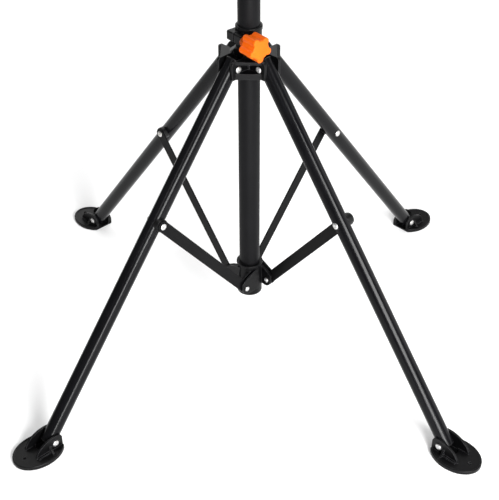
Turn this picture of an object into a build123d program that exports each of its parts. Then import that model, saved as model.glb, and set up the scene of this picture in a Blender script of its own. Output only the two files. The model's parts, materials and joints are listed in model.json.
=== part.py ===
"""Folding four-leg stand base: centre post, sliding hub, fixed collar, legs, braces and foot pads.

Millimetres. +Z is up, the origin is on the ground on the post's axis.  Each leg lies in a radial
plane.  "Radial" is outward from the post, "tangential" is counter-clockwise seen from above.
"""
from build123d import *
import os
from math import asin, cos, degrees, radians, sin

# ---------------------------------------------------------------- driving dimensions
LEG_AZIMUTHS = {"fl": 225.0, "fr": 315.0, "br": 45.0, "bl": 135.0}

POST_R = 20.0
POST_BORE_R = 18.5
POST_TOP_Z = 900.0

LEG_R = 14.3
LEG_WALL = 1.2
LEG_SPAN = 744.0          # hub pivot to foot pivot
LEG_TILT = 38.5           # from vertical, stand open
LEG_PAST_HUB = 12.0       # tube beyond the hub pivot
LEG_PAST_FOOT = 5.0       # tube beyond the foot pivot
MID_SPAN = 304.0          # hub pivot to brace pivot, along the leg
BRACE_SPAN = 315.0        # brace pivot to collar pivot

HUB_PIVOT_R = 44.0        # hub pivot's distance from the post's axis
COLLAR_PIVOT_R = 33.0     # collar pivot's distance from the post's axis
FOOT_PIVOT_Z = 19.0       # foot pivot above the ground

BRACE_T = 21.5            # tangential place of the brace's middle plane
BRACE_GAP = 0.4           # play beside a brace
BRACE_THICK = 3.0
BRACE_WIDE = 21.5

RIVET_R = 3.0
RIVET_HEAD_R = 6.0
RIVET_HEAD_H = 2.5
COLLAR_RIVET_R = 2.5
COLLAR_RIVET_HEAD_R = 5.0
RUNNING = 0.06            # radial clearance of a pivot
LOOSE = 0.8               # radial clearance where the linkage loop is left open

SLOT_HALF = 14.7          # half the gap between two cheeks that hold a leg
HUB_CHEEK = 4.6           # thickness of the hub's cheeks
PAD_CHEEK = 3.8           # thickness of a foot pad's cheeks
PAD_BOSS = 1.0            # raised seat under a foot rivet's head

HUB_BOTTOM = -17.0        # heights below are from the hub pivots
HUB_WEB_TOP = 16.0
HUB_LIP_TOP = 66.0
HUB_SLEEVE_R = 23.0
HUB_BORE_R = 20.6
HUB_CHEEK_OUT = 59.3
HUB_FACE = 49.5           # flat outer faces between the legs, from the axis
HUB_RIB_OUT = 31.0        # end of the thin rib in each pocket, from the axis
HUB_RIB_THICK = 3.0

CLAMP_AZIMUTH = 220.0
CLAMP_SCREW_R = 27.5      # screw axis from the post's axis
CLAMP_SCREW_H = 48.5      # screw axis above the hub pivots
CLAMP_HALF = 18.5         # block's half width, tangential
SCREW_R = 3.0

NUT_R = 5.77              # across corners / 2
NUT_THICK = 4.8
WASHER_THICK = 1.4
SCREW_END = 50.0          # tangential place of the screw's end inside the knob
KNOB_BACK = 34.0
KNOB_FRONT = 67.0
KNOB_TIP_R = 23.5
KNOB_NOTCH_R = 17.0
KNOB_LOBE_R = 6.5
KNOB_TURN = -14.0         # first lobe, from outward towards up

SPACER_R = 12.0
SPACER_SADDLE_T = 7.0

PAD_CENTRE = 26.0         # middle of the pad's oval, outward from the foot pivot
PAD_LONG = 50.0           # half length of the oval
PAD_WIDE = 38.5           # half width of the oval
PAD_BACK = -15.5          # straight inner edge
PAD_RIM_H = 8.0
PAD_RIM_W = 3.0
PAD_TOP = 6.6             # top of the plate inside the rim
PAD_UNDER = 3.6           # underside of the plate, hollow below it
PAD_WALL = 5.0            # outer wall round the hollow
PAD_POCKET_Z = 3.0        # floor of the pocket under the leg's end
PAD_POCKET_OUT = 26.0
PAD_CHEEK_OUT = 43.5
PAD_CHEEK_H = 34.0
PAD_HOLE = 56.0
PAD_HOLE_R = 3.0

COLLAR_BOTTOM = -31.0     # heights from the collar pivots
COLLAR_TOP = 41.5
COLLAR_SLEEVE_R = 24.8
COLLAR_INNER_CHEEK = 5.0
COLLAR_OUTER_CHEEK = 3.2
COLLAR_SLOT_GAP = 1.0     # play outside a brace in its slot
COLLAR_RIM_H = 3.6
COLLAR_SCREW_AZIMUTHS = (60.0, 150.0)
COLLAR_SCREW_H = 26.0
COLLAR_SCREW_R = 2.0

# ---------------------------------------------------------------- places worked out from them
FOOT_PIVOT_R = HUB_PIVOT_R + LEG_SPAN * sin(radians(LEG_TILT))
HUB_PIVOT_Z = FOOT_PIVOT_Z + LEG_SPAN * cos(radians(LEG_TILT))
MID_PIVOT_R = HUB_PIVOT_R + MID_SPAN * sin(radians(LEG_TILT))
MID_PIVOT_Z = HUB_PIVOT_Z - MID_SPAN * cos(radians(LEG_TILT))
BRACE_RUN = MID_PIVOT_R - COLLAR_PIVOT_R
BRACE_TILT = degrees(asin(BRACE_RUN / BRACE_SPAN))
COLLAR_PIVOT_Z = MID_PIVOT_Z - BRACE_SPAN * cos(radians(BRACE_TILT))

PAD_CHEEK_T = SLOT_HALF + PAD_CHEEK
PAD_SEAT_T = PAD_CHEEK_T + PAD_BOSS

UP = Vector(0, 0, 1)


def outward(azimuth):
    """Unit vector away from the post at this azimuth."""
    return Vector(cos(radians(azimuth)), sin(radians(azimuth)), 0)


def tangent(azimuth):
    """Unit vector counter-clockwise at this azimuth."""
    return Vector(-sin(radians(azimuth)), cos(radians(azimuth)), 0)


def point(azimuth, radial, height, tangential=0.0):
    """A place given by its radial, tangential and vertical distances."""
    return outward(azimuth) * radial + tangent(azimuth) * tangential + UP * height


def across(origin, azimuth):
    """Plane square to the tangent: local x is outward, local y is up, extrusion goes to -tangent."""
    return Plane(origin=origin, x_dir=outward(azimuth), z_dir=tangent(azimuth) * -1)


def flat(origin, azimuth):
    """Level plane: local x is outward, local y is the tangent."""
    return Plane(origin=origin, x_dir=outward(azimuth), z_dir=UP)


def export(part, name):
    """Label one finished piece and write it."""
    part.label = name
    export_step(part, f"parts/{name}.step")


def rivet(origin, azimuth, shank_r, head_r, low, high):
    """Add one rivet along the tangent: shank from low to high, a domed and dimpled head past each."""
    edge = 0.9
    dimple_r = head_r * 0.33
    with BuildSketch(flat(origin, azimuth)) as section:
        with BuildLine():
            outline = [(0, low - RIVET_HEAD_H + 0.9), (dimple_r, low - RIVET_HEAD_H)]
            Polyline(*outline)
            dome(low, -1, head_r, edge, dimple_r)
            Polyline((head_r, low - edge), (head_r, low), (shank_r, low), (shank_r, high),
                     (head_r, high), (head_r, high + edge))
            dome(high, 1, head_r, edge, dimple_r)
            Polyline((dimple_r, high + RIVET_HEAD_H), (0, high + RIVET_HEAD_H - 0.9),
                     (0, low - RIVET_HEAD_H + 0.9))
        make_face()
    revolve(section.sketch, axis=Axis(origin, tangent(azimuth)))


def dome(face, side, head_r, edge, dimple_r):
    """Arc of a rivet head from its rim to its dimple."""
    middle_r = (head_r + dimple_r) * 0.56
    ThreePointArc((head_r, face + side * edge),
                  (middle_r, face + side * (edge + RIVET_HEAD_H) * 0.61),
                  (dimple_r, face + side * RIVET_HEAD_H))


def along_leg(azimuth, distance):
    """Point on a leg's axis, measured down from the hub pivot."""
    return point(azimuth, HUB_PIVOT_R + distance * sin(radians(LEG_TILT)),
                 HUB_PIVOT_Z - distance * cos(radians(LEG_TILT)))


def leg_direction(azimuth):
    """Unit vector down the leg."""
    return outward(azimuth) * sin(radians(LEG_TILT)) - UP * cos(radians(LEG_TILT))


def cross_hole(origin, azimuth, radius, low, high):
    """Cut a round hole along the tangent, from low to high."""
    with BuildSketch(across(origin + tangent(azimuth) * high, azimuth)) as hole:
        Circle(radius)
    extrude(hole.sketch, amount=high - low, mode=Mode.SUBTRACT)


os.makedirs("parts", exist_ok=True)

# ---------------------------------------------------------------- centre post
POST_BOTTOM_Z = COLLAR_PIVOT_Z + COLLAR_BOTTOM + 4.0


def screw_seat(azimuth, radial):
    """Plane facing the post at a collar screw's place, this far from the axis."""
    return Plane(origin=point(azimuth, radial, COLLAR_PIVOT_Z + COLLAR_SCREW_H), x_dir=UP,
                 z_dir=outward(azimuth) * -1)


with BuildPart() as post_tube:
    with BuildSketch(Plane.XY.offset(POST_BOTTOM_Z)):
        Circle(POST_R)
        Circle(POST_BORE_R, mode=Mode.SUBTRACT)
    extrude(amount=POST_TOP_Z - POST_BOTTOM_Z)
    chamfer(post_tube.edges().group_by(Axis.Z)[-1], 0.4)
    for azimuth in COLLAR_SCREW_AZIMUTHS:
        with BuildSketch(screw_seat(azimuth, POST_R + 1)):
            Circle(COLLAR_SCREW_R)
        extrude(amount=POST_R, mode=Mode.SUBTRACT)
export(post_tube.part, "post_tube")

# ---------------------------------------------------------------- lower collar
COLLAR_BASE_Z = COLLAR_PIVOT_Z + COLLAR_BOTTOM
COLLAR_INNER_T = BRACE_T - BRACE_THICK / 2 - BRACE_GAP
COLLAR_OUTER_T = BRACE_T + BRACE_THICK / 2 + COLLAR_SLOT_GAP

with BuildPart() as lower_collar:
    with BuildSketch(Plane.XY.offset(COLLAR_BASE_Z)):
        Circle(COLLAR_SLEEVE_R)
    extrude(amount=COLLAR_TOP - COLLAR_BOTTOM)
    fillet(lower_collar.edges().group_by(Axis.Z)[0], 2.0)
    with BuildSketch(Plane.XY.offset(COLLAR_PIVOT_Z + COLLAR_TOP - COLLAR_RIM_H)):
        Circle(COLLAR_SLEEVE_R + 1.2)
    extrude(amount=COLLAR_RIM_H)
    fillet(lower_collar.edges().group_by(Axis.Z)[-1], 0.9)
    # clevis cheeks: outer end rounded round the pivot, top sloping up to the sleeve
    for azimuth in LEG_AZIMUTHS.values():
        for start, thick in ((COLLAR_INNER_T, COLLAR_INNER_CHEEK),
                             (COLLAR_OUTER_T + COLLAR_OUTER_CHEEK, COLLAR_OUTER_CHEEK)):
            with BuildSketch(across(point(azimuth, COLLAR_PIVOT_R, COLLAR_PIVOT_Z, start), azimuth)):
                with BuildLine():
                    Polyline((11.5, 0), (11.5, 15.5), (-2.0, 23.5), (-25.0, 34.0), (-31.0, 34.0),
                             (-31.0, -14.0), (-8.0, -14.0))
                    RadiusArc((-8.0, -14.0), (11.5, 0), -16.5)
                make_face()
            extrude(amount=thick)
    # brace slots stay open through whatever the cheeks and sleeve left in them
    for azimuth in LEG_AZIMUTHS.values():
        with BuildSketch(across(point(azimuth, COLLAR_PIVOT_R, COLLAR_PIVOT_Z, COLLAR_OUTER_T), azimuth)):
            Circle(BRACE_WIDE / 2 + 1.0)
            with Locations((15, 25)):
                Rectangle(40, 50)
            with Locations((11, -2)):
                Rectangle(22, 14)
        extrude(amount=COLLAR_OUTER_T - COLLAR_INNER_T, mode=Mode.SUBTRACT)
        cross_hole(point(azimuth, COLLAR_PIVOT_R, COLLAR_PIVOT_Z), azimuth, COLLAR_RIVET_R,
                   COLLAR_INNER_T - COLLAR_INNER_CHEEK - 1, COLLAR_OUTER_T + COLLAR_OUTER_CHEEK + 1)
    with BuildSketch(Plane.XY.offset(POST_BOTTOM_Z)):
        Circle(POST_R)
    extrude(amount=100, mode=Mode.SUBTRACT)
    with BuildSketch(Plane.XY.offset(COLLAR_BASE_Z - 1)):
        Circle(POST_R - 5.0)
    extrude(amount=20, mode=Mode.SUBTRACT)
    for azimuth in COLLAR_SCREW_AZIMUTHS:
        with BuildSketch(screw_seat(azimuth, COLLAR_SLEEVE_R + 1)):
            Circle(COLLAR_SCREW_R)
        extrude(amount=COLLAR_SLEEVE_R, mode=Mode.SUBTRACT)
export(lower_collar.part, "lower_collar")

with BuildPart() as collar_screws:
    for azimuth in COLLAR_SCREW_AZIMUTHS:
        with BuildSketch(screw_seat(azimuth, COLLAR_SLEEVE_R + 1.6)):
            Circle(1.8 * COLLAR_SCREW_R)
        extrude(amount=1.6)
        with BuildSketch(screw_seat(azimuth, COLLAR_SLEEVE_R)):
            Circle(COLLAR_SCREW_R)
        extrude(amount=COLLAR_SLEEVE_R - POST_BORE_R - 0.3)
export(collar_screws.part, "collar_screws")

with BuildPart() as collar_rivets:
    for azimuth in LEG_AZIMUTHS.values():
        rivet(point(azimuth, COLLAR_PIVOT_R, COLLAR_PIVOT_Z), azimuth, COLLAR_RIVET_R,
              COLLAR_RIVET_HEAD_R, COLLAR_INNER_T - COLLAR_INNER_CHEEK,
              COLLAR_OUTER_T + COLLAR_OUTER_CHEEK)
export(collar_rivets.part, "collar_rivets")

# ---------------------------------------------------------------- upper hub
NUT_FACE = point(CLAMP_AZIMUTH, CLAMP_SCREW_R, HUB_PIVOT_Z + CLAMP_SCREW_H, -CLAMP_HALF)


def hub_height(height):
    """Level plane at this height above the hub pivots."""
    return Plane.XY.offset(HUB_PIVOT_Z + height)


with BuildPart() as hub_body:
    with BuildSketch(hub_height(HUB_BOTTOM)):
        Circle(HUB_SLEEVE_R)
    extrude(amount=HUB_LIP_TOP - HUB_BOTTOM)
    with BuildSketch(hub_height(HUB_LIP_TOP - 7.0)):
        Circle(HUB_SLEEVE_R + 1.2)
    extrude(amount=7.0)
    fillet(hub_body.edges().group_by(Axis.Z)[-1], 1.8)
    # webs between the legs: a thick lower one and a thinner upper one, square in plan
    for bottom, top in ((HUB_BOTTOM, -6.3), (HUB_WEB_TOP - 5.0, HUB_WEB_TOP)):
        with BuildSketch(hub_height(bottom)):
            Rectangle(2 * HUB_FACE, 2 * HUB_FACE)
        extrude(amount=top - bottom)
    # thin rib up the middle of each pocket
    with BuildSketch(hub_height(HUB_BOTTOM)):
        Rectangle(2 * HUB_RIB_OUT, HUB_RIB_THICK)
        Rectangle(HUB_RIB_THICK, 2 * HUB_RIB_OUT)
    extrude(amount=HUB_WEB_TOP - HUB_BOTTOM)
    # two cheeks for each leg
    for azimuth in LEG_AZIMUTHS.values():
        for start in (-SLOT_HALF, SLOT_HALF + HUB_CHEEK):
            with BuildSketch(across(point(azimuth, 0, HUB_PIVOT_Z, start), azimuth)):
                with BuildLine():
                    FilletPolyline((POST_R, HUB_BOTTOM), (HUB_CHEEK_OUT, HUB_BOTTOM),
                                   (HUB_CHEEK_OUT, HUB_WEB_TOP), (POST_R, HUB_WEB_TOP),
                                   radius=[2.5, 6.0])
                    Line((POST_R, HUB_WEB_TOP), (POST_R, HUB_BOTTOM))
                make_face()
            extrude(amount=HUB_CHEEK)
    # shoulder that blends the webs into the sleeve
    with BuildSketch(hub_height(HUB_WEB_TOP)):
        Circle(34.0)
    extrude(amount=9.0, taper=50)
    # leg slots, open above, below and outward
    for azimuth in LEG_AZIMUTHS.values():
        with BuildSketch(Plane(origin=UP * (HUB_PIVOT_Z + HUB_BOTTOM - 1), x_dir=outward(azimuth),
                               z_dir=UP)):
            with Locations((HUB_SLEEVE_R + 40.2, 0)):
                Rectangle(80, 2 * SLOT_HALF)
        extrude(amount=60, mode=Mode.SUBTRACT)
    # clamp block with its gusset below
    with BuildSketch(across(point(CLAMP_AZIMUTH, 0, HUB_PIVOT_Z, CLAMP_HALF), CLAMP_AZIMUTH)):
        with BuildLine():
            FilletPolyline((16.0, 33.5), (21.0, 33.5), (34.5, 41.5), (34.5, 58.0), (16.0, 58.0),
                           radius=[1.0, 2.5, 2.5])
            Line((16.0, 58.0), (16.0, 33.5))
        make_face()
    extrude(amount=2 * CLAMP_HALF)
    # bore for the post, the clamp's slit, the screw hole and the nut pocket
    with BuildSketch(hub_height(HUB_BOTTOM - 1)):
        Circle(HUB_BORE_R)
    extrude(amount=120, mode=Mode.SUBTRACT)
    with BuildSketch(Plane(origin=UP * (HUB_PIVOT_Z + 32.0), x_dir=outward(CLAMP_AZIMUTH), z_dir=UP)):
        with Locations((30, 0)):
            Rectangle(30, 3.0)
    extrude(amount=60, mode=Mode.SUBTRACT)
    cross_hole(point(CLAMP_AZIMUTH, CLAMP_SCREW_R, HUB_PIVOT_Z + CLAMP_SCREW_H), CLAMP_AZIMUTH,
               SCREW_R + 0.3, -CLAMP_HALF - 1, CLAMP_HALF + 1)
    with BuildSketch(across(NUT_FACE, CLAMP_AZIMUTH)):
        RegularPolygon(NUT_R + 0.1, 6)
    extrude(amount=-NUT_THICK - 0.2, mode=Mode.SUBTRACT)
    for azimuth in LEG_AZIMUTHS.values():
        cross_hole(point(azimuth, HUB_PIVOT_R, HUB_PIVOT_Z), azimuth, RIVET_R,
                   -SLOT_HALF - HUB_CHEEK - 1, SLOT_HALF + HUB_CHEEK + 1)
export(hub_body.part, "hub_body")

with BuildPart() as hub_rivets:
    for azimuth in LEG_AZIMUTHS.values():
        rivet(point(azimuth, HUB_PIVOT_R, HUB_PIVOT_Z), azimuth, RIVET_R, RIVET_HEAD_R,
              -SLOT_HALF - HUB_CHEEK, SLOT_HALF + HUB_CHEEK)
export(hub_rivets.part, "hub_rivets")

# ---------------------------------------------------------------- clamp: nut, washer, screw, knob


def clamp_plane(tangential):
    """Plane square to the clamp screw, local x outward and local y up, facing -tangent."""
    return across(point(CLAMP_AZIMUTH, CLAMP_SCREW_R, HUB_PIVOT_Z + CLAMP_SCREW_H, tangential),
                  CLAMP_AZIMUTH)


with BuildPart() as clamp_nut:
    with BuildSketch(clamp_plane(-CLAMP_HALF + NUT_THICK)):
        RegularPolygon(NUT_R, 6)
        Circle(SCREW_R + RUNNING, mode=Mode.SUBTRACT)
    extrude(amount=NUT_THICK)
export(clamp_nut.part, "clamp_nut")

with BuildPart() as clamp_washer:
    with BuildSketch(clamp_plane(CLAMP_HALF + WASHER_THICK)):
        Circle(8.0)
        Circle(SCREW_R + RUNNING, mode=Mode.SUBTRACT)
    extrude(amount=WASHER_THICK)
export(clamp_washer.part, "clamp_washer")

with BuildPart() as clamp_screw:
    with BuildSketch(clamp_plane(SCREW_END)):
        Circle(SCREW_R)
    extrude(amount=SCREW_END + CLAMP_HALF - 1.0)
    chamfer(clamp_screw.edges(), 0.5)
export(clamp_screw.part, "clamp_screw")

with BuildPart() as clamp_knob:
    with BuildSketch(clamp_plane(KNOB_FRONT)) as lobes:
        Circle(KNOB_NOTCH_R)
        with PolarLocations(KNOB_TIP_R - KNOB_LOBE_R, 5, start_angle=KNOB_TURN):
            Circle(KNOB_LOBE_R)
        fillet(lobes.vertices(), 2.5)
    extrude(amount=KNOB_FRONT - KNOB_BACK)
    fillet(clamp_knob.faces().sort_by(Axis(Vector(0, 0, 0), tangent(CLAMP_AZIMUTH)))[-1].edges(), 1.6)
    fillet(clamp_knob.faces().sort_by(Axis(Vector(0, 0, 0), tangent(CLAMP_AZIMUTH)))[0].edges(), 2.2)
    with BuildSketch(clamp_plane(KNOB_BACK + 1.0)):
        Circle(9.0)
    extrude(amount=KNOB_BACK + 1.0 - CLAMP_HALF - WASHER_THICK)
    with BuildSketch(clamp_plane(SCREW_END)):
        Circle(SCREW_R)
    extrude(amount=SCREW_END, mode=Mode.SUBTRACT)
export(clamp_knob.part, "clamp_knob")

# ---------------------------------------------------------------- legs
LEG_START = -LEG_PAST_HUB
LEG_END = LEG_SPAN + LEG_PAST_FOOT
PLUG_FLANGE = 1.5
PLUG_INSERT = 18.0
SPACER_TOP = BRACE_T - BRACE_THICK / 2 - BRACE_GAP
MID_HEAD_T = BRACE_T + BRACE_THICK / 2 + BRACE_GAP


def leg_section(azimuth, distance):
    """Plane square to a leg at this distance from the hub pivot, facing down the leg."""
    return Plane(origin=along_leg(azimuth, distance), x_dir=tangent(azimuth),
                 z_dir=leg_direction(azimuth))


def leg_tube(azimuth):
    """Round tube with its three cross holes."""
    with BuildPart() as tube:
        with BuildSketch(leg_section(azimuth, LEG_START)) as ring:
            Circle(LEG_R)
            Circle(LEG_R - LEG_WALL, mode=Mode.SUBTRACT)
        extrude(ring.sketch, amount=LEG_END - LEG_START)
        for distance, radius in ((0, RIVET_R + RUNNING), (MID_SPAN, RIVET_R),
                                 (LEG_SPAN, RIVET_R + RUNNING)):
            cross_hole(along_leg(azimuth, distance), azimuth, radius, -LEG_R - 1, LEG_R + 1)
    return tube.part


def leg_plug(azimuth, end, inward, pivot):
    """Flanged cap for a tube end, pierced by the rivet that passes near that end."""
    with BuildPart() as plug:
        with BuildSketch(leg_section(azimuth, end)) as flange:
            Circle(LEG_R)
        extrude(flange.sketch, amount=-inward * PLUG_FLANGE)
        outer = plug.edges().filter_by(GeomType.CIRCLE).sort_by(
            Axis(along_leg(azimuth, end), leg_direction(azimuth) * -inward))[-1]
        fillet(outer, 1.2)
        with BuildSketch(leg_section(azimuth, end)) as insert:
            Circle(LEG_R - LEG_WALL)
        extrude(insert.sketch, amount=inward * PLUG_INSERT)
        cross_hole(along_leg(azimuth, pivot), azimuth, RIVET_R + RUNNING, -LEG_R - 1, LEG_R + 1)
    return plug.part


def brace_spacer(azimuth):
    """Round spacer whose inner end is a saddle on the leg tube."""
    middle = along_leg(azimuth, MID_SPAN)
    with BuildPart() as spacer:
        with BuildSketch(across(middle + tangent(azimuth) * SPACER_TOP, azimuth)) as disc:
            Circle(SPACER_R)
        extrude(disc.sketch, amount=SPACER_TOP - SPACER_SADDLE_T)
        with BuildSketch(leg_section(azimuth, MID_SPAN - 2 * SPACER_R)) as bed:
            Circle(LEG_R + 0.05)
        extrude(bed.sketch, amount=4 * SPACER_R, mode=Mode.SUBTRACT)
        cross_hole(middle, azimuth, RIVET_R, 0, SPACER_TOP + 1)
    return spacer.part


def mid_rivet(azimuth):
    """Rivet through leg, spacer and brace."""
    with BuildPart() as pin:
        rivet(along_leg(azimuth, MID_SPAN), azimuth, RIVET_R, RIVET_HEAD_R, -LEG_R, MID_HEAD_T)
    return pin.part


def brace(azimuth, mid_hole_r):
    """Flat strip with rounded ends and a hole in each end."""
    half = point(azimuth, (MID_PIVOT_R + COLLAR_PIVOT_R) / 2, (MID_PIVOT_Z + COLLAR_PIVOT_Z) / 2)
    with BuildPart() as strip:
        with BuildSketch(across(half + tangent(azimuth) * (BRACE_T + BRACE_THICK / 2), azimuth)) as bar:
            SlotCenterToCenter(BRACE_SPAN, BRACE_WIDE, rotation=90 - BRACE_TILT)
        extrude(bar.sketch, amount=BRACE_THICK)
        fillet(strip.edges(), 0.5)
        cross_hole(point(azimuth, COLLAR_PIVOT_R, COLLAR_PIVOT_Z), azimuth, COLLAR_RIVET_R + RUNNING,
                   BRACE_T - BRACE_THICK, BRACE_T + BRACE_THICK)
        cross_hole(along_leg(azimuth, MID_SPAN), azimuth, mid_hole_r,
                   BRACE_T - BRACE_THICK, BRACE_T + BRACE_THICK)
    return strip.part


# ---------------------------------------------------------------- feet
def pad_outline(ground, inset):
    """Pad seen from above: an oval cut straight across near the leg, with rounded corners."""
    with BuildSketch(ground) as oval:
        with Locations((PAD_CENTRE, 0)):
            Ellipse(PAD_LONG - inset, PAD_WIDE - inset)
        with Locations((PAD_BACK + inset + 100, 0)):
            Rectangle(200, 200, mode=Mode.INTERSECT)
        fillet(oval.vertices().group_by(Axis.X)[0], 4.0)
    return oval.sketch


def foot_pad(azimuth):
    """Hinged pad: hollow rimmed plate, two cheeks, gussets and ledges, rivet seats, anchor hole."""
    ground = flat(point(azimuth, FOOT_PIVOT_R, 0), azimuth)
    with BuildPart() as pad:
        extrude(pad_outline(ground, 0), amount=PAD_RIM_H)
        fillet(pad.edges().group_by(Axis.Z)[-1], 1.8)
        chamfer(pad.edges().group_by(Axis.Z)[0], 0.6)
        extrude(pad_outline(ground.offset(PAD_TOP), PAD_RIM_W), amount=PAD_RIM_H, mode=Mode.SUBTRACT)
        for start in (-SLOT_HALF, PAD_CHEEK_T):
            with BuildSketch(across(point(azimuth, FOOT_PIVOT_R, 0, start), azimuth)) as cheek:
                with BuildLine():
                    EllipticalCenterArc((0, 1.0), PAD_CHEEK_OUT, PAD_CHEEK_H - 1.0, start_angle=0,
                                        arc_size=90)
                    Line((0, PAD_CHEEK_H), (-6.0, PAD_CHEEK_H - 0.4))
                    ThreePointArc((-6.0, PAD_CHEEK_H - 0.4), (-12.3, PAD_CHEEK_H - 2.9),
                                  (-15.2, PAD_CHEEK_H - 9.0))
                    Polyline((-15.2, PAD_CHEEK_H - 9.0), (-15.2, 1.0), (PAD_CHEEK_OUT, 1.0))
                make_face()
            extrude(cheek.sketch, amount=PAD_CHEEK)
        for side in (-1, 1):
            # gusset square to the cheek, ledge along the cheek's foot, seat under the rivet head
            with BuildSketch(Plane(origin=point(azimuth, FOOT_PIVOT_R + 10.0, 0),
                                   x_dir=tangent(azimuth), z_dir=outward(azimuth))) as gusset:
                Polygon((side * 16, 1), (side * 28, 1), (side * 28, PAD_TOP + 0.6), (side * 23, 13),
                        (side * 20, 19), (side * 16, 19), align=None)
            extrude(gusset.sketch, amount=3.2)
            with BuildSketch(Plane(origin=point(azimuth, FOOT_PIVOT_R + 11.0, 0),
                                   x_dir=tangent(azimuth), z_dir=outward(azimuth))) as ledge:
                Polygon((side * 16, 1), (side * 22.4, 1), (side * 22.4, PAD_TOP + 2.6),
                        (side * 16, PAD_TOP + 2.6), align=None)
            extrude(ledge.sketch, amount=29.0)
            with BuildSketch(across(point(azimuth, FOOT_PIVOT_R, FOOT_PIVOT_Z, side * PAD_CHEEK_T),
                                    azimuth)) as seat:
                Circle(RIVET_HEAD_R + 1.6)
            extrude(seat.sketch, amount=-side * PAD_BOSS)
        # hollow underside, then the tray and pocket under the leg's end, open towards the post
        extrude(pad_outline(ground, PAD_WALL), amount=PAD_UNDER, mode=Mode.SUBTRACT)
        with BuildSketch(ground) as tray:
            with Locations(((PAD_POCKET_OUT + PAD_BACK) / 2 + 2.0, 0)):
                Rectangle(PAD_POCKET_OUT - PAD_BACK, 2 * PAD_CHEEK_T)
        extrude(tray.sketch, amount=PAD_UNDER)
        with BuildSketch(ground.offset(PAD_POCKET_Z)) as pocket:
            with Locations(((PAD_POCKET_OUT + PAD_BACK) / 2 - 1.0, 0)):
                Rectangle(PAD_POCKET_OUT - PAD_BACK + 2.0, 2 * SLOT_HALF)
            fillet(pocket.vertices().group_by(Axis.X)[-1], 8.0)
        extrude(pocket.sketch, amount=PAD_RIM_H, mode=Mode.SUBTRACT)
        with BuildSketch(ground) as anchor:
            with Locations((PAD_HOLE, 0)):
                Circle(PAD_HOLE_R)
        extrude(anchor.sketch, amount=PAD_RIM_H, mode=Mode.SUBTRACT)
        cross_hole(point(azimuth, FOOT_PIVOT_R, FOOT_PIVOT_Z), azimuth, RIVET_R,
                   -PAD_SEAT_T - 1, PAD_SEAT_T + 1)
    return pad.part


def foot_rivet(azimuth):
    """Rivet through the pad's cheeks and the leg."""
    with BuildPart() as pin:
        rivet(point(azimuth, FOOT_PIVOT_R, FOOT_PIVOT_Z), azimuth, RIVET_R, RIVET_HEAD_R,
              -PAD_SEAT_T, PAD_SEAT_T)
    return pin.part


for leg, azimuth in LEG_AZIMUTHS.items():
    export(leg_tube(azimuth), f"leg_tube_{leg}")
    export(leg_plug(azimuth, LEG_START, 1, 0), f"leg_top_plug_{leg}")
    export(leg_plug(azimuth, LEG_END, -1, LEG_SPAN), f"leg_bottom_plug_{leg}")
    export(brace_spacer(azimuth), f"brace_spacer_{leg}")
    export(mid_rivet(azimuth), f"mid_rivet_{leg}")
    export(brace(azimuth, RIVET_R + (RUNNING if leg == "fl" else LOOSE)), f"brace_{leg}")
    export(foot_pad(azimuth), f"foot_pad_{leg}")
    export(foot_rivet(azimuth), f"foot_rivet_{leg}")
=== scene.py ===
"""Looks for the folding four-leg stand base: materials, light, floor and camera.

Metres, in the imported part's own frame: +Z up, ground at zero, the post on the Z axis.
The meshes are the CAD's own; small edge rounding is done in the shading only.
"""
import json
import math

import bpy
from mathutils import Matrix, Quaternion, Vector

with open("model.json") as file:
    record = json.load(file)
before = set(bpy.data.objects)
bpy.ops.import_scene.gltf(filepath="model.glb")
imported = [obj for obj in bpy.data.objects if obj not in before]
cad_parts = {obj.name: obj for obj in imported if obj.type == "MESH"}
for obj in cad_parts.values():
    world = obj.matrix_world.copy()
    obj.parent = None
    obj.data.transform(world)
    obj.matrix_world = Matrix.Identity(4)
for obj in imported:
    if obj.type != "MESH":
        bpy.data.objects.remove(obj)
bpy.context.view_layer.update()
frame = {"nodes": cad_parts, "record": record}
nodes = frame["nodes"]

# Radius of the shaded rounding on sharp edges, in metres, and the rays that find it
PAINT_EDGE = 0.0006
PLASTIC_EDGE = 0.0011
METAL_EDGE = 0.0003
EDGE_RAYS = 6
# An edge shows where the rounded and the flat normal agree by less than this
EDGE_STARTS = 0.985
# How deep light goes into the knob's plastic, in metres
GLOW_DEPTH = 0.0015

# Floor, sky and camera
FLOOR_SIZE = 40.0
FLOOR_GREYS = (0.89, 0.92)
SKY_STRENGTH = 0.20
LENS_MM, SENSOR_MM = 78.96, 36.0
LOOK_AT = Vector((0.0, 0.0, 0.1848))
DISTANCE, ELEVATION, TURN, ROLL = 2.1824, 35.63, 0.95, -0.16

# ---------------------------------------------------------------- material helpers
# Noise scales are in cycles per metre; bump distances are in metres.


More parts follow.
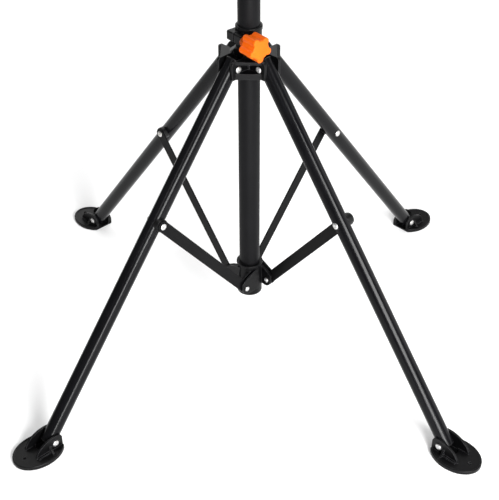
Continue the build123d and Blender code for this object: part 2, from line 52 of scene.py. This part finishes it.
class Nodes:
    """Small wrapper that adds and links shader nodes."""

    def __init__(self, name):
        self.material = bpy.data.materials.new(name)
        self.material.use_nodes = True
        self.tree = self.material.node_tree
        self.shader = self.tree.nodes["Principled BSDF"]

    def add(self, kind, **settings):
        node = self.tree.nodes.new(kind)
        for key, value in settings.items():
            setattr(node, key, value)
        return node

    def link(self, source, target):
        self.tree.links.new(source, target)

    def value(self, socket, number):
        self.shader.inputs[socket].default_value = number

    def noise(self, coords, scale, detail=4.0, roughness=0.55):
        node = self.add("ShaderNodeTexNoise")
        node.inputs["Scale"].default_value = scale
        node.inputs["Detail"].default_value = detail
        node.inputs["Roughness"].default_value = roughness
        self.link(coords, node.inputs["Vector"])
        return node.outputs["Fac"]

    def stretch(self, source, low, high, to_low, to_high, smooth=False):
        node = self.add("ShaderNodeMapRange")
        if smooth:
            node.interpolation_type = "SMOOTHSTEP"
        limits = {"From Min": low, "From Max": high, "To Min": to_low, "To Max": to_high}
        for socket, number in limits.items():
            node.inputs[socket].default_value = number
        self.link(source, node.inputs["Value"])
        return node.outputs["Result"]

    def maths(self, operation, a, b):
        node = self.add("ShaderNodeMath", operation=operation)
        for socket, item in zip(node.inputs, (a, b)):
            if isinstance(item, (int, float)):
                socket.default_value = item
            else:
                self.link(item, socket)
        return node.outputs[0]

    def mix(self, factor, a, b):
        node = self.add("ShaderNodeMix", data_type="RGBA")
        self.link(factor, node.inputs["Factor"])
        for socket, item in ((node.inputs[6], a), (node.inputs[7], b)):
            if isinstance(item, tuple):
                socket.default_value = (*item, 1.0)
            else:
                self.link(item, socket)
        return node.outputs[2]

    def coords(self, scale=(1, 1, 1), rotation=(0, 0, 0)):
        """Object coordinates, in metres, turned and stretched."""
        source = self.add("ShaderNodeTexCoord")
        mapping = self.add("ShaderNodeMapping")
        mapping.inputs["Scale"].default_value = scale
        mapping.inputs["Rotation"].default_value = rotation
        self.link(source.outputs["Object"], mapping.inputs["Vector"])
        return mapping.outputs["Vector"]

    def edges(self, radius, low, high):
        """Mask that is 1 along sharp outer edges, and the rounded normal it came from."""
        bevel = self.add("ShaderNodeBevel", samples=EDGE_RAYS)
        bevel.inputs["Radius"].default_value = radius
        plain = self.add("ShaderNodeNewGeometry")
        dot = self.add("ShaderNodeVectorMath", operation="DOT_PRODUCT")
        self.link(bevel.outputs["Normal"], dot.inputs[0])
        self.link(plain.outputs["Normal"], dot.inputs[1])
        return self.stretch(dot.outputs["Value"], high, low, 0.0, 1.0, smooth=True), bevel.outputs["Normal"]

    def bumps(self, layers, normal=None):
        """Chain of bump nodes: (height, distance, strength), coarse first."""
        for height, distance, strength in layers:
            node = self.add("ShaderNodeBump")
            node.inputs["Distance"].default_value = distance
            node.inputs["Strength"].default_value = strength
            self.link(height, node.inputs["Height"])
            if normal is not None:
                self.link(normal, node.inputs["Normal"])
            normal = node.outputs["Normal"]
        self.link(normal, self.shader.inputs["Normal"])


def coated(name, colour, wear_colour, roughness, specular, peel):
    """Painted or powder-coated steel: orange peel, dust, cloudy gloss and rubbed edges."""
    m = Nodes(name)
    place = m.coords()
    cloud = m.noise(place, 9.0, 5.0)
    dust = m.noise(place, 160.0, 6.0, 0.7)
    rub = m.noise(place, 55.0, 6.0, 0.75)
    edge_mask, rounded = m.edges(PAINT_EDGE, 0.80, EDGE_STARTS)
    worn = m.maths("MULTIPLY", edge_mask, m.stretch(rub, 0.44, 0.62, 0.0, 0.75, smooth=True))
    # clouded base, then a few paler dust specks, then the rubbed edges
    base = m.mix(m.stretch(cloud, 0.35, 0.7, 0.0, 1.0), colour, tuple(c * 1.6 + 0.0004 for c in colour))
    specks = m.stretch(dust, 0.70, 0.78, 0.0, 0.35, smooth=True)
    base = m.mix(specks, base, tuple(c * 3.0 + 0.002 for c in colour))
    m.link(m.mix(worn, base, wear_colour), m.shader.inputs["Base Color"])
    gloss = m.maths("ADD", m.stretch(cloud, 0.3, 0.75, roughness * 0.85, roughness * 1.2),
                    m.stretch(dust, 0.45, 0.8, -0.01, 0.05))
    m.link(m.maths("ADD", gloss, m.maths("MULTIPLY", worn, 0.15)), m.shader.inputs["Roughness"])
    m.value("Specular IOR Level", specular)
    fine_peel = m.noise(place, 1500.0, 2.0)
    m.bumps([(m.noise(place, 420.0, 2.0), 0.00012, peel), (fine_peel, 0.00003, peel * 0.6)], rounded)
    return m.material


def moulded(name, colour, wear_colour, roughness, specular, grain, subsurface=0.0, scuff=0.5):
    """Moulded plastic: fine spark-eroded grain, flow clouds, a pale line along every edge that is partly
    rubbed wear and partly a painted highlight, and short scuffs.
    """
    m = Nodes(name)
    place = m.coords()
    cloud = m.noise(place, 22.0, 4.0)
    grit = m.noise(place, 1300.0, 3.0, 0.6)
    rub = m.noise(place, 90.0, 6.0, 0.75)
    streak = m.noise(m.coords((90.0, 900.0, 300.0), (0.4, 0.9, 0.3)), 1.0, 3.0)
    edge_mask, rounded = m.edges(PLASTIC_EDGE, 0.78, EDGE_STARTS)
    # The pale edge colour never drops below 0.4 of its strength: a painted highlight line along every edge,
    # varied by rubbed wear
    worn = m.maths("MULTIPLY", edge_mask, m.stretch(rub, 0.38, 0.60, 0.40, 0.90, smooth=True))
    scuffs = m.maths("MULTIPLY", m.stretch(streak, 0.66, 0.74, 0.0, scuff, smooth=True),
                     m.stretch(rub, 0.50, 0.66, 0.0, 1.0, smooth=True))
    base = m.mix(m.stretch(cloud, 0.3, 0.7, 0.0, 1.0), tuple(c * 0.86 for c in colour),
                 tuple(c * 1.12 for c in colour))
    base = m.mix(m.stretch(grit, 0.40, 0.72, 0.0, 0.35), base, tuple(c * 1.35 for c in colour))
    # Scuffs are wear; the edge lines are part wear and part painted highlight
    wear_scuffs_and_edge_highlight = m.maths("MAXIMUM", worn, scuffs)
    m.link(m.mix(wear_scuffs_and_edge_highlight, base, wear_colour), m.shader.inputs["Base Color"])
    gloss = m.maths("ADD", m.stretch(cloud, 0.3, 0.7, roughness * 0.9, roughness * 1.12),
                    m.maths("MULTIPLY", wear_scuffs_and_edge_highlight, 0.12))
    m.link(gloss, m.shader.inputs["Roughness"])
    m.value("Specular IOR Level", specular)
    if subsurface:
        m.value("Subsurface Weight", subsurface)
        m.value("Subsurface Scale", GLOW_DEPTH)
    m.bumps([(m.noise(place, 600.0, 3.0), 0.00010, grain), (grit, 0.00005, grain)], rounded)
    return m.material


def plated(name, colour, roughness, metallic):
    """Zinc-plated steel: bright metal with fine tumbling marks and a slight yellow cast in places."""
    m = Nodes(name)
    place = m.coords()
    cloud = m.noise(place, 120.0, 4.0)
    marks = m.noise(place, 700.0, 5.0, 0.65)
    edge_mask, rounded = m.edges(METAL_EDGE, 0.80, EDGE_STARTS)
    base = m.mix(m.stretch(cloud, 0.35, 0.68, 0.0, 1.0), colour,
                 (colour[0] * 0.86, colour[1] * 0.84, colour[2] * 0.78))
    m.link(m.mix(m.maths("MULTIPLY", edge_mask, 0.4), base, tuple(min(1.0, c * 1.15) for c in colour)),
           m.shader.inputs["Base Color"])
    m.link(m.stretch(marks, 0.3, 0.75, roughness * 0.75, roughness * 1.4), m.shader.inputs["Roughness"])
    m.value("Metallic", metallic)
    m.bumps([(marks, 0.00004, 0.35)], rounded)
    return m.material


# ---------------------------------------------------------------- materials
# Linear colours. The blacks are far below real paint: they were matched under lights strong enough
# to whiten the floor, and need raising before the part is used under ordinary light.
BLACK_NYLON = (0.0018, 0.0018, 0.0020)
# Pale edge colour for the nylon parts: partly rubbed wear, partly a painted edge highlight
NYLON_EDGE_HIGHLIGHT_AND_WEAR = (0.066, 0.066, 0.070)
SMALL_MOULDING = (0.0028, 0.0028, 0.0030)
# Pale edge colour for the small mouldings: partly rubbed wear, partly a painted edge highlight
SMALL_EDGE_HIGHLIGHT_AND_WEAR = (0.038, 0.038, 0.040)
MATERIALS = {
    "post_paint": coated("post powder coat", (0.0026, 0.0026, 0.0030), (0.044, 0.044, 0.044),
                         roughness=0.46, specular=0.080, peel=0.30),
    "leg_paint": coated("leg gloss paint", (0.0021, 0.0021, 0.0025), (0.053, 0.053, 0.053),
                        roughness=0.19, specular=0.105, peel=0.14),
    "brace_paint": coated("brace paint", (0.0018, 0.0018, 0.0020), (0.070, 0.070, 0.070),
                          roughness=0.36, specular=0.070, peel=0.26),
    "hub_plastic": moulded("hub nylon", BLACK_NYLON, NYLON_EDGE_HIGHLIGHT_AND_WEAR, 0.36, 0.135, grain=0.55),
    "collar_plastic": moulded("collar nylon", BLACK_NYLON, NYLON_EDGE_HIGHLIGHT_AND_WEAR, 0.38, 0.115, grain=0.55),
    "pad_plastic": moulded("pad plastic", BLACK_NYLON, NYLON_EDGE_HIGHLIGHT_AND_WEAR, 0.38, 0.13, grain=0.65),
    "cap_plastic": moulded("cap plastic", SMALL_MOULDING, SMALL_EDGE_HIGHLIGHT_AND_WEAR, 0.42, 0.20, grain=0.45),
    "spacer_plastic": moulded("spacer plastic", SMALL_MOULDING, SMALL_EDGE_HIGHLIGHT_AND_WEAR, 0.38, 0.20, grain=0.45),
    "rivet_steel": plated("rivet zinc", (0.60, 0.60, 0.61), roughness=0.30, metallic=0.85),
    "fastener_steel": plated("fastener zinc", (0.56, 0.56, 0.56), roughness=0.34, metallic=0.90),
    "knob_plastic": moulded("knob plastic", (0.60, 0.090, 0.0012), (0.78, 0.20, 0.035), 0.44, 0.14,
                            grain=0.40, subsurface=0.08, scuff=0.25),
}
slot_of = {s["node"]: s["material_slot"] for s in frame["record"]["subparts"]}
for name, thing in nodes.items():
    material = MATERIALS[slot_of[name]]
    if not thing.material_slots:
        thing.data.materials.append(material)
    for slot in thing.material_slots:
        slot.material = material

# ---------------------------------------------------------------- floor, light, camera
bpy.ops.mesh.primitive_plane_add(size=FLOOR_SIZE, location=(0, 0, 0))
floor = bpy.context.object
floor.name = "floor"
ground = Nodes("studio floor")
speckle = ground.noise(ground.coords(), 3.0, 3.0)
darker, paler = ((grey, grey, grey) for grey in FLOOR_GREYS)
ground.link(ground.mix(ground.stretch(speckle, 0.3, 0.7, 0.0, 1.0), darker, paler),
            ground.shader.inputs["Base Color"])
ground.value("Roughness", 0.9)
ground.value("Specular IOR Level", 0.1)
floor.data.materials.append(ground.material)

world = bpy.data.worlds.new("studio")
world.use_nodes = True
sky = world.node_tree.nodes["Background"]
sky.inputs["Color"].default_value = (1.0, 1.0, 1.0, 1.0)
sky.inputs["Strength"].default_value = SKY_STRENGTH
bpy.context.scene.world = world


def softbox(name, place, target, width, height, radiance, lean=0.0):
    """Rectangular area light facing a target, its long side leaning by some degrees."""
    data = bpy.data.lights.new(name, "AREA")
    data.shape = "RECTANGLE"
    data.size = width
    data.size_y = height
    data.energy = radiance * math.pi * width * height
    lamp = bpy.data.objects.new(name, data)
    lamp.location = place
    facing = (Vector(target) - Vector(place)).to_track_quat("-Z", "Y")
    lamp.rotation_euler = (facing @ Quaternion((0, 0, 1), math.radians(lean))).to_euler()
    bpy.context.scene.collection.objects.link(lamp)


# The key and the low strip lie along one slanting line, which both front legs mirror as a streak.
softbox("top", (-0.3, 1.6, 3.3), (0, 0.7, 0), 3.2, 3.0, radiance=2.4)
softbox("key", (1.38, -2.64, 1.55), (0, 0, 0.35), 1.05, 2.1, radiance=30.0, lean=-48.0)
softbox("low strip", (0.63, -3.55, 0.46), (0, 0, 0.35), 0.55, 1.3, radiance=33.0, lean=-48.0)
softbox("left strip", (-1.00, -2.45, 2.25), (0, 0, 0.45), 0.25, 1.1, radiance=11.0)
softbox("right wall", (2.8, 0.3, 1.0), (0, 0, 0.4), 2.4, 1.8, radiance=1.9)
softbox("back wall", (-0.8, 3.3, 1.2), (0, 0, 0.4), 2.6, 1.5, radiance=2.2)

camera_data = bpy.data.cameras.new("camera")
camera_data.lens = LENS_MM
camera_data.sensor_width = SENSOR_MM
camera = bpy.data.objects.new("camera", camera_data)
turn, lift = math.radians(TURN), math.radians(ELEVATION)
back = Vector((math.sin(turn) * math.cos(lift), -math.cos(turn) * math.cos(lift), math.sin(lift)))
camera.location = LOOK_AT + back * DISTANCE
roll = Quaternion((0, 0, 1), math.radians(ROLL))
camera.rotation_euler = ((-back).to_track_quat("-Z", "Y") @ roll).to_euler()
bpy.context.scene.collection.objects.link(camera)
bpy.context.scene.camera = camera
bpy.context.scene.view_settings.view_transform = "Standard"
